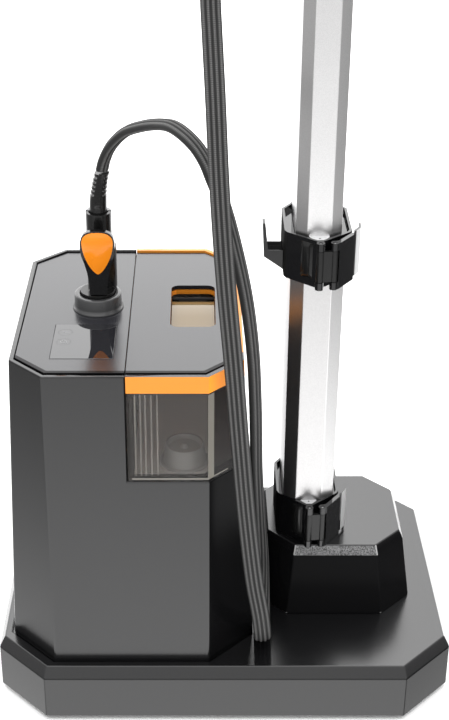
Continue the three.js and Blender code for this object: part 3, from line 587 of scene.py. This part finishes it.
def build_casing():
    casing = refine("body_casing", SATIN, radius=1.6, shortest=12, segments=4)
    # Painted shade: the right front chamfer darker, the left one less glossy
    paint(casing, SHADED, lambda centre, normal: normal.x > 0.5 and normal.y < -0.3)
    paint(casing, SATIN_SIDE_SHADE, lambda centre, normal: normal.x < -0.5 and normal.y < -0.3)
    refine("control_deck", DECK, radius=0.4, shortest=8, segments=2)
    refine("control_panel", PANEL, radius=0.25, shortest=12, segments=2)
    for node in ("power_button", "steam_button"):
        top = button_top(node)
        radius = (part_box(node)[1][0] - top.x) / MM + KEY_GROWTH
        key = turned(node + "_cap", [(0, -3), (radius, -3), (radius, -0.06), (radius - 0.06, 0),
                                     (0, 0)], top, PANEL, sides=64, sharp=30)
        stand_for(key, node)
    ring = turned("steam_button_ring", [(2.6, 0), (3.2, 0), (3.2, ICON_HEIGHT),
                                        (2.6, ICON_HEIGHT), (2.6, 0)],
                  button_top("steam_button"), ICON, sides=36)
    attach(ring, "steam_key")
    dash = plate("power_button_dash", rounded_box(6.4, 1.1, 0.5), ICON_HEIGHT,
                 button_top("power_button"), ICON)
    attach(dash, "power_key")


def button_top(node):
    low, high = box_of(node)
    return Vector(((low.x + high.x) / 2, (low.y + high.y) / 2, high.z))


def rounded_box(width, depth, radius):
    """The outline of a rectangle with rounded corners, five points to a corner."""
    points = []
    for sx, sy, start in ((1, -1, -90), (1, 1, 0), (-1, 1, 90), (-1, -1, 180)):
        for i in range(5):
            angle = math.radians(start + 90 * i / 4)
            points.append((sx * (width / 2 - radius) + radius * math.cos(angle),
                           sy * (depth / 2 - radius) + radius * math.sin(angle)))
    return points


# ---- Connector and lever ---------------------------------------------------------------------
COLLAR_PROFILE = [
    (15.8, 377), (15.8, 384.3), (24.6, 384.3), (25, 384.8), (25, 386.2), (24.4, 387),
    (23.6, 388), (23.3, 390), (22.9, 399.6), (22.5, 400.6), (21.6, 401), (18.6, 401),
    (17.8, 400.6), (17.4, 399.8), (17.4, 388.2), (6.2, 388), (6.2, 377), (15.8, 377),
]
INLAY_RINGS = 9
INLAY_SIDES = 44
INLAY_DOME = 0.0019          # metres that the inlay's middle stands out
INLAY_BACK = 0.0012          # metres that its rim lies behind the CAD node's front
INLAY_PEAK = 0.64            # where the dome is highest, as a share of the inlay's height
INLAY_CURVE = 2.6            # higher is flatter in the middle and rounder at the edge
INLAY_SPREAD = 1.04          # width against the CAD node
SHIELD_SHOULDER = 0.72       # where the inlay's top corners begin, as a share of its height
SHIELD_WIDEST = 0.8


def build_connector():
    middle = centre_of("outlet_collar")
    collar = turned("outlet_collar_shell", COLLAR_PROFILE, (middle.x, middle.y, 0), COLLAR,
                    sides=72, sharp=50)
    stand_for(collar, "outlet_collar")
    refine("hose_connector", SEMI, radius=0.8, shortest=1.5, segments=3, corner=40, sharp=50)
    refine("release_lever", GLOSS, radius=1.6, shortest=0.4, segments=4, corner=50, sharp=60)
    build_inlay()
    recolour("release_lever_pin", STEEL)


def build_inlay():
    """The domed orange face of the release lever, shaped like a drop."""
    low, high = box_of("release_lever_inlay")
    middle_x = (low.x + high.x) / 2
    front = low.y + INLAY_BACK
    bm = bmesh.new()
    seed = Vector((middle_x, high.y, low.z + (high.z - low.z) * INLAY_PEAK))
    rim = [drop_point(math.tau * k / INLAY_SIDES, low, high, middle_x)
           for k in range(INLAY_SIDES)]
    rows = []
    for r in range(1, INLAY_RINGS + 1):
        share = r / INLAY_RINGS
        lift = (1 - share ** INLAY_CURVE) * INLAY_DOME
        spots = [seed.lerp(p, share) for p in rim]
        rows.append([bm.verts.new((spot.x, front - lift, spot.z)) for spot in spots])
    tip = bm.verts.new((seed.x, front - INLAY_DOME, seed.z))
    edge = [bm.verts.new((v.co.x, high.y, v.co.z)) for v in rows[-1]]
    for k in range(INLAY_SIDES):
        m = (k + 1) % INLAY_SIDES
        bm.faces.new((tip, rows[0][k], rows[0][m]))
        for inner, outer in zip(rows, rows[1:]):
            bm.faces.new((inner[k], outer[k], outer[m], inner[m]))
        bm.faces.new((rows[-1][k], edge[k], edge[m], rows[-1][m]))
    bm.faces.new(edge)
    face = from_bmesh("release_lever_face", bm, ORANGE_GLOSS, sharp=50)
    stand_for(face, "release_lever_inlay")


def drop_point(angle, low, high, middle_x):
    """A point on the inlay's edge: a shield, blunt above and pointed below."""
    half = (high.x - low.x) / 2 * INLAY_SPREAD
    up = 0.5 + 0.5 * math.sin(angle)
    wide = math.sin(math.pi / 2 * min(1, up / SHIELD_WIDEST)) ** 0.65
    if up > SHIELD_SHOULDER:
        share = (up - SHIELD_SHOULDER) / (1 - SHIELD_SHOULDER)
        wide *= max(0, 1 - share ** INLAY_CURVE) ** (1 / INLAY_CURVE)
    across = math.copysign(wide, math.cos(angle))
    return Vector((middle_x + half * across, low.y, low.z + (high.z - low.z) * up))


# ---- Strain relief ---------------------------------------------------------------------------
RELIEF_CENTRE = Vector((-0.124, 0.012, 0))
RELIEF_SIDES = 64
RELIEF_STEPS = 170
RELIEF_RADIUS = 9.2          # at the foot
RELIEF_TAPER = 1.4           # the radius is this much less at the top
RELIEF_FLAT = 0.93           # width against depth
RELIEF_LEAN = (483.5, 521, 0.005)    # from this height to this one it leans right, in metres
RELIEF_SMOOTH = 497          # the boot is smooth up to here, then notched at both sides
RELIEF_PITCH = 4.3
RELIEF_NOTCH = 1.7
SPINE = 0.35                 # the plain spine between the notches stands out
REFLECTION_RADII = (8.9, 12.6)
REFLECTION_ARC = (8, 164)           # degrees: where the painted reflection on the sleeve's top starts, and how far it goes


def build_relief():
    """Flexible boot: smooth below, then a plain spine with notches down each side."""
    low, high = box_mm("hose_strain_relief")
    top = high.z - 0.4
    lean_from, lean_to, lean_most = RELIEF_LEAN
    rings = []
    for i in range(RELIEF_STEPS + 1):
        mm = low.z + (top - low.z) * i / RELIEF_STEPS
        lean = lean_most * max(0, (mm - lean_from) / (lean_to - lean_from)) ** 2
        wave = 0.5 + 0.5 * math.cos((mm - RELIEF_SMOOTH) * math.tau / RELIEF_PITCH)
        gap = smoothstep(1 - wave, 0.45, 0.75) * smoothstep(mm, RELIEF_SMOOTH, RELIEF_SMOOTH + 1)
        gap *= 1 - smoothstep(mm, top - 2.5, top - 1.5)
        body = RELIEF_RADIUS - RELIEF_TAPER * smoothstep(mm, 486, 519)
        ring = []
        for k in range(RELIEF_SIDES):
            angle = math.tau * k / RELIEF_SIDES
            side_on = smoothstep(abs(math.cos(angle)), 0.45, 0.75)
            spine = SPINE * smoothstep(abs(math.sin(angle)), 0.86, 0.97)
            radius = (body - gap * RELIEF_NOTCH * side_on + spine * smoothstep(mm, 486, 490)) * MM
            ring.append(RELIEF_CENTRE + Vector((radius * math.cos(angle) * RELIEF_FLAT + lean,
                                                radius * math.sin(angle), mm * MM)))
        rings.append(ring)
    relief = loft("strain_relief_boot", rings, SEMI, sharp=60)
    stand_for(relief, "hose_strain_relief")

    # A pale ring over the back half of the sleeve's top: a painted reflection of the bright light
    # above
    arc = [math.radians(REFLECTION_ARC[0] + REFLECTION_ARC[1] * i / 24) for i in range(25)]
    inner, outer = REFLECTION_RADII
    outline = [(outer * math.cos(t), outer * math.sin(t)) for t in arc]
    outline += [(inner * math.cos(t), inner * math.sin(t)) for t in reversed(arc)]
    sleeve_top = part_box("hose_connector")[1][2]
    reflection_ring = plate("sleeve_lip", outline, 0.9,
                RELIEF_CENTRE + Vector((0, 0, sleeve_top - 0.4 * MM)), GREY)
    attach(reflection_ring, body_of("hose_connector"))


# ---- Tank ------------------------------------------------------------------------------------
FLAP_SHOWN = 0.016           # metres from the flap's hinge to the part that shows
RIM_FRONT = -0.1             # metres: the rim's front part lies before this
MARGIN = 4.2                 # painted shade margin along the front of the top plates
PLATE_RISE = 1.9             # the top plates stand higher towards the front
RIM_DROP = 1.2               # and the rim in front of them is lower
RIM_DEPTH = 0.0022           # metres below the rim's top that this takes down
TANK_WALL = 2.9              # from the tank's lowest point to its floor inside
TANK_RIBS = (-86, -81, -76.5, -71, -65.5)
RIB_FRONT, RIB_BACK = -145.2, -142.2
EDGE_WIDTH = 7.5             # painted highlight strip down the tank's front corner
EDGE_DEPTH = 0.5
EDGE_LINE = 1.3              # painted highlight line along the bottom of the tank
EDGE_REACH = 26              # how far that line goes round the corner


def build_tank():
    shell = refine("tank_shell", CLEAR, radius=0.9, shortest=8, segments=3)
    # Painted shade on the tank's right-hand side faces
    paint(shell, CLEAR_SHADED, lambda centre, normal: abs(normal.x) > FACING
          and centre.x > -0.01)
    rim = refine("tank_rim", ORANGE, radius=0.5, shortest=6, segments=2)
    cap_front_rim(rim)
    refine("tank_lid", DECK, radius=0.4, shortest=2.5, segments=2)
    flap = refine("filler_flap", SMOKE, radius=0.8, shortest=2.5, segments=3, corner=40,
                  sharp=60)
    hinge_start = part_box("filler_flap")[1][1] - FLAP_SHOWN
    # The hinge end is black, in the painted-shade satin, which also hides the bright reflection
    # on its curved top
    paint(flap, SHADED, lambda centre, normal: centre.y > hinge_start)
    build_valve()
    build_tank_lining()
    recolour("filler_flap_pin", STEEL)


def cut(mesh, planes):
    """Cuts a mesh's faces along planes, each a point and a normal, and keeps both sides."""
    bm = bmesh.new()
    bm.from_mesh(mesh)
    for point, normal in planes:
        bmesh.ops.bisect_plane(bm, geom=[*bm.verts, *bm.edges, *bm.faces], plane_co=point,
                               plane_no=normal)
    bm.to_mesh(mesh)
    bm.free()


def cap_front_rim(rim):
    """The rim's top is grey along the front, and its front corner has painted light, a brighter
    orange.
    """
    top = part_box("tank_rim")[1][2]
    cut(rim.data, [((0, RIM_FRONT, 0), (0, 1, 0))])
    paint(rim, DECK, lambda centre, normal: normal.z > 0.7 and centre.z > top - 0.0008
          and centre.y < RIM_FRONT)
    paint(rim, ORANGE_LIT, lambda centre, normal: normal.x > FACING and normal.y < -FACING
          and normal.z < 0.5)


def paint_shade_margin(obj):
    """A margin of painted shade on a top plate, along its front edge and its front corners."""
    faces = obj.data.polygons
    cuts = []
    for side in (-1, 0, 1):
        facing = [f for f in faces if abs(f.normal.z) < 0.2 and f.normal.y < -FACING
                  and (abs(f.normal.x) < 0.2 if side == 0 else f.normal.x * side > FACING)]
        if facing:
            edge = max(facing, key=lambda f: f.center.x * side - f.center.y)
            normal = Vector((edge.normal.x, edge.normal.y, 0)).normalized()
            outermost = max(v.co.dot(normal) for v in obj.data.vertices)
            if edge.center.dot(normal) > outermost - 0.0005:
                cuts.append((edge.center.copy() - normal * MARGIN * MM, normal))
    cut(obj.data, cuts)
    paint(obj, SHADED, lambda centre, normal: any((centre - point).dot(out) > WELD
                                                  for point, out in cuts))


def slope_top():
    """The deck and lid slope slightly, so that their front edges stand clear of the rim."""
    low, high = box_of("body_casing")
    depth = high.y - low.y
    tops = [REFINED[name] for name in ("control_deck", "tank_lid", "control_panel")]
    tops += [bpy.data.objects[name] for name in ("power_button_cap", "steam_button_cap",
                                                 "steam_button_ring", "power_button_dash")]
    paint_shade_margin(REFINED["control_deck"])
    paint_shade_margin(REFINED["tank_lid"])
    for obj in tops:
        for vertex in obj.data.vertices:
            vertex.co.z += PLATE_RISE * MM * (high.y - vertex.co.y) / depth
    for name in ("body_casing", "tank_rim"):
        for vertex in REFINED[name].data.vertices:
            if vertex.co.y < RIM_FRONT and vertex.co.z > high.z - RIM_DEPTH:
                vertex.co.z -= RIM_DROP * MM


def build_valve():
    """The round valve cup on the tank's floor, seen through the wall."""
    low, high = box_mm("tank_valve")
    middle = centre_of("tank_valve")
    floor = box_mm("tank_shell")[0].z + 2.8
    top = high.z
    valve = turned("tank_valve_cup", [
        (0, low.z), (7.4, low.z), (7.4, floor), (24, floor), (24, floor + 1.6),
        (23, floor + 2.4), (20.6, floor + 2.6), (19.9, floor + 3.6), (18.6, top - 1.2),
        (18.0, top), (16.2, top), (15.4, top - 1.0), (14.4, top - 4.4), (4.2, top - 4.4),
        (2.2, top - 0.8), (0, top - 0.4),
    ], (middle.x, middle.y, 0), VALVE_GREY, sides=64, sharp=45)
    stand_for(valve, "tank_valve")


def build_tank_lining():
    """Pale floor plate as painted light inside the tank, a dark sheet at its back as painted
    shade, and the moulded ribs beside its seam.
    """
    low, high = box_mm("tank_shell")
    left = low.x + 6
    floor = low.z + TANK_WALL
    foot = Vector((0, 0, (floor + 1) * MM))
    lining = plate("tank_floor_plate", [(left, -140), (-22, -140), (10, -108), (10, 102),
                                        (-22, 128), (left, 128)],
                   0.5, (0, 0, floor * MM), TANK_FLOOR_LIGHT)
    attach(lining, "tank")
    wall = plate("tank_back_lining", [(left, 128), (-24, 128), (8, 102), (8.5, 102.6),
                                      (-23.8, 128.8), (left, 128.8)],
                 high.z - floor - 12, foot, TANK_BACK_SHADE)
    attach(wall, "tank")
    build_tank_edges(low, high)
    for index, x in enumerate(TANK_RIBS):
        rib = plate("tank_rib_%d" % (index + 1), [(x, RIB_FRONT), (x + 1.6, RIB_FRONT),
                                                  (x + 0.8, RIB_BACK)],
                    high.z - floor - 4, foot, RIM_CLEAR, radius=0.2)
        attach(rib, "tank")


def build_tank_edges(low, high):
    """Painted highlights on the edges of the clear walls: pale opaque strips down the front
    corner and along the bottom.
    """
    shell = REFINED["tank_shell"].data
    spots = [shell.vertices[v].co / MM for f in shell.polygons if f.normal.y < -0.95
             and f.area > 1e-4 for v in f.vertices]
    middle = (low.z + high.z) / 2
    feet = max((p for p in spots if p.z < middle), key=lambda p: p.x)
    head = max((p for p in spots if p.z > middle), key=lambda p: p.x)
    slant = max((f for f in shell.polygons if f.normal.x > FACING and f.normal.y < -FACING
                 and abs(f.normal.z) < 0.2), key=lambda f: f.area).normal
    along = Vector((-slant.y, slant.x)).normalized()
    out = Vector((slant.x, slant.y)).normalized() * EDGE_DEPTH
    starts = [Vector((p.x + 0.3, p.y + 0.1)) for p in (feet, head)]
    rings = []
    for start, z in zip(starts, (low.z + 3, high.z - 1)):
        end = start + along * EDGE_WIDTH
        rings.append([Vector((q.x, q.y, z)) * MM
                      for q in (start, start + out, end + out, end)])
    strip = loft("tank_corner_edge", rings, CLEAR_HIGHLIGHT, sharp=20)
    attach(strip, "tank")
    corner = starts[0]
    for name, left, right, off in (
            ("front", Vector((low.x + 4, low.y)), corner, Vector((0, -0.2))),
            ("corner", corner, corner + along * EDGE_REACH, out)):
        line = plate("tank_%s_line" % name, [left, left + off, right + off, right], EDGE_LINE,
                     (0, 0, (low.z + 2.4) * MM), CLEAR_HIGHLIGHT)
        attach(line, "tank")


# ---- Inner pieces ----------------------------------------------------------------------------
INNER = {
    "tank_seat_valve": RUBBER, "mains_cable_gland": RUBBER, "steam_boiler": STEEL,
    "water_pump": GREY, "steam_pipe": BRASS, "tank_feed_pipe": GREY, "boiler_feed_pipe": GREY,
    "control_board": BOARD,
}


def build_inside():
    for node, material in INNER.items():
        recolour(node, material)


# ---- Pole, clamps and hook -------------------------------------------------------------------
TONGUE = 7                   # width of the lever's end with a painted reflection
PAD_START = Vector((56, -41))    # the band's left plate runs between these
PAD_END = Vector((82, -63))
PAD_SPAN = (0.5, 0.89)       # the raised pad covers this share of the plate
PAD_HEIGHT = 2.0
PAD_PROFILE = ((0.16, 0.0), (0.2, 0.8), (0.26, 1.0), (0.82, 1.0), (0.88, 0.8), (0.92, 0.0))
POCKET_NOSE = -60.0
POCKET_DROP = 0.6            # below the band's top
POCKET_THICK = 1.2
POCKET_HALF = (9.5, 3.4)     # half its width at the pole and at the nose


def build_pole():
    lower, upper = (refine(node, SILVER, radius=0.7, shortest=6, segments=3, corner=15)
                    for node in ("pole_lower_tube", "pole_upper_tube"))
    # Painted light: the front faces and right front chamfers are brighter silver, and the upper
    # tube's left front chamfer paler
    paint(lower, SILVER_PAINTED_LIGHT, lambda centre, normal: normal.y < -0.95)
    paint(upper, SILVER_LIT, lambda centre, normal: normal.y < -0.95)
    for tube in (lower, upper):
        paint(tube, SILVER_LIT, lambda centre, normal: normal.y < -FACING
              and normal.x > FACING)
    paint(upper, SILVER_PAINTED_LIGHT, lambda centre, normal: normal.y < -FACING and normal.x < -FACING)
    for prefix in ("foot_clamp", "height_clamp"):
        band = refine(prefix + "_band", GLOSS, radius=0.6, shortest=2.5, segments=3, corner=22)
        # Painted shade on the band's left side faces
        paint(band, MATTE_SHADE, lambda centre, normal: normal.x < -0.9)
        refine(prefix + "_link", SEMI, radius=0.5, shortest=2.5, segments=2, corner=40)
        lever = refine(prefix + "_lever", GLOSS, radius=0.6, shortest=2.0, segments=3,
                       corner=30)
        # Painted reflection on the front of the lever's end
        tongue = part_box(prefix + "_lever")[1][0] - TONGUE * MM
        paint(lever, PAINTED_HIGHLIGHT, lambda centre, normal: centre.x > tongue and normal.y < -0.2)
        build_pad(prefix)
        for part in ("_link_pin", "_lever_pin"):
            recolour(prefix + part, STEEL)
    refine("hose_hook", GLOSS, radius=0.7, shortest=2.0, segments=3)
    build_pocket("height_clamp")
    build_pocket("foot_clamp")


def build_pad(prefix):
    """A raised pad with a curved face on the clamp's left plate."""
    low, high = box_mm(prefix + "_band")
    along = PAD_END - PAD_START
    outward = Vector((along.y, -along.x)).normalized()
    rings = []
    for share, height in PAD_PROFILE:
        ring = []
        for i in range(13):
            t = PAD_SPAN[0] + (PAD_SPAN[1] - PAD_SPAN[0]) * i / 12
            bulge = (1 - (i / 6 - 1) ** 2) * PAD_HEIGHT * height + 0.05
            ring.append(PAD_START + along * t + outward * bulge)
        ring += [PAD_START + along * t - outward * 0.3 for t in reversed(PAD_SPAN)]
        z = low.z + (high.z - low.z) * share
        rings.append([Vector((x, y, z)) * MM for x, y in ring])
    pad = loft(prefix + "_pad", rings, SEMI)
    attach(pad, body_of(prefix + "_band"))


def build_pocket(prefix):
    """Bright plate in the pocket behind the clamp's nose, with a black disc of painted shade for
    a small round hole.
    """
    top = box_mm(prefix + "_band")[1].z - POCKET_DROP
    front = box_mm("pole_upper_tube")[0].y
    middle = centre_of("pole_upper_tube").x / MM
    wide, narrow = POCKET_HALF
    outline = [(middle - wide, front + 1), (middle - wide, front - 2.2),
               (middle - narrow, POCKET_NOSE), (middle + narrow, POCKET_NOSE),
               (middle + wide, front - 2.2), (middle + wide, front + 1)]
    pocket = plate(prefix + "_pocket_plate", outline, POCKET_THICK,
                   (0, 0, (top - POCKET_THICK) * MM), CAST, radius=0.3)
    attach(pocket, "base")
    # Painted shade for the hole
    hole = turned(prefix + "_pocket_hole", [(0, 0), (0.9, 0), (0.9, 0.08), (0, 0.08)],
                  Vector((middle, POCKET_NOSE + 4.6, top)) * MM, HOLE_SHADE, sides=24)
    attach(hole, "base")


# ---- Head and handset ------------------------------------------------------------------------
def build_top():
    refine("pole_head", GLOSS, radius=1.0, shortest=5, segments=3)
    for side in ("left", "right"):
        refine("hanger_arm_" + side, SATIN, radius=1.2, shortest=4, segments=3)
        recolour("hanger_pin_" + side, STEEL)
    refine("handset_cradle", SEMI, radius=1.2, shortest=4, segments=3)
    recolour("hose_end_swivel", RUBBER)
    refine("handset_body", SATIN, radius=1.6, shortest=5, segments=4)
    refine("steam_trigger", ORANGE, radius=0.8, shortest=4, segments=3)
    refine("steam_plate", STEEL, radius=0.5, shortest=4, segments=2)


# ---- Studio ----------------------------------------------------------------------------------
UPPER_FRONT = 1.6            # brightness near the horizon, by side
UPPER_SIDE = 1.0
UPPER_BACK = 3.1
OVERHEAD = 3.0
GLOW = 2.8                   # added round the soft light above and behind
GLOW_AXIS = (0, 0.64, 0.77)
LOWER_FRONT = 0.6            # just below the horizon, by side
LOWER_LEFT = 0.65
LOWER_RIGHT = 0.10
LOWER_RIGHT_FRONT = 0.5
LOWER_BACK = 2.4
LOWER_FLOOR = 2.9            # steeply down, all round


def build_world():
    """White studio: bright behind and above, a bright floor, dark low down to the right."""
    world = bpy.data.worlds.new("studio")
    scene.world = world
    n = Nodes(world)
    place = n.add("ShaderNodeTexCoord")
    split = n.add("ShaderNodeSeparateXYZ")
    n.link(place, split, "Generated", "Vector")
    x, y, z = (split.outputs[k] for k in "XYZ")
    front = n.math("MULTIPLY", y, -1.0)
    down = n.math("MULTIPLY", z, -1.0)

    def fade(value, start, end, low, high):
        """low before start, high after end. Each may be a number or another node's output."""
        node = n.add("ShaderNodeMapRange", interpolation_type="SMOOTHSTEP")
        settings = {"Value": value, "From Min": start, "From Max": end, "To Min": low,
                    "To Max": high}
        for key, item in settings.items():
            if isinstance(item, (int, float)):
                node.inputs[key].default_value = item
            else:
                n.tree.links.new(item, node.inputs[key])
        return node.outputs["Result"]

    # The spans are shares of a unit direction: 0 is level or sideways, 1 straight that way.
    behind = fade(y, 0.15, 0.7, UPPER_SIDE, UPPER_BACK)
    around = fade(front, 0.15, 0.7, behind, UPPER_FRONT)
    axis = n.add("ShaderNodeVectorMath", operation="DOT_PRODUCT")
    axis.inputs[1].default_value = GLOW_AXIS
    n.link(place, axis, "Generated", 0)
    glow = fade(axis.outputs["Value"], 0.93, 0.992, 0.0, GLOW)
    upper = n.math("ADD", fade(z, 0.45, 0.95, around, OVERHEAD), glow)

    frontal = fade(front, 0.1, 0.8, 0.0, 1.0)
    right = fade(front, 0.03, 0.25, LOWER_RIGHT, LOWER_RIGHT_FRONT)
    side = fade(x, -0.15, 0.15, LOWER_LEFT, right)
    behind_low = fade(y, 0.35, 0.65, side, LOWER_BACK)
    near = fade(front, 0.1, 0.8, behind_low, LOWER_FRONT)
    start = n.math("SUBTRACT", 0.44, n.math("MULTIPLY", frontal, 0.16))
    end = n.math("SUBTRACT", 0.68, n.math("MULTIPLY", frontal, 0.08))
    lower = fade(down, start, end, near, LOWER_FLOOR)

    strength = fade(z, -0.12, 0.05, lower, upper)
    background = n.add("ShaderNodeBackground")
    background.inputs["Color"].default_value = (1, 1, 1, 1)
    n.tree.links.new(strength, background.inputs["Strength"])
    out = n.add("ShaderNodeOutputWorld")
    n.link(background, out, "Background", "Surface")


FLOOR_REACH = 60.0
FLOOR_DEPTH = 0.0002         # just under the feet


def build_floor():
    bm = bmesh.new()
    bm.faces.new([bm.verts.new((x * FLOOR_REACH, y * FLOOR_REACH, -FLOOR_DEPTH))
                  for x, y in ((-1, -1), (1, -1), (1, 1), (-1, 1))])
    floor = from_bmesh("floor", bm, surface("white_floor", (0.82, 0.82, 0.82), 0.5, wear=0.02))
    floor.visible_glossy = False      # the studio's own light shows in the glossy faces instead


hose, hose_path, hose_length = build_hose()
build_base()
build_casing()
build_connector()
build_relief()
build_tank()
slope_top()
build_inside()
build_pole()
build_top()
build_world()
build_floor()

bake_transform(hose)

scene.view_settings.view_transform = "Standard"
scene.view_settings.look = "None"
scene.view_settings.exposure = 0
scene.view_settings.gamma = 1
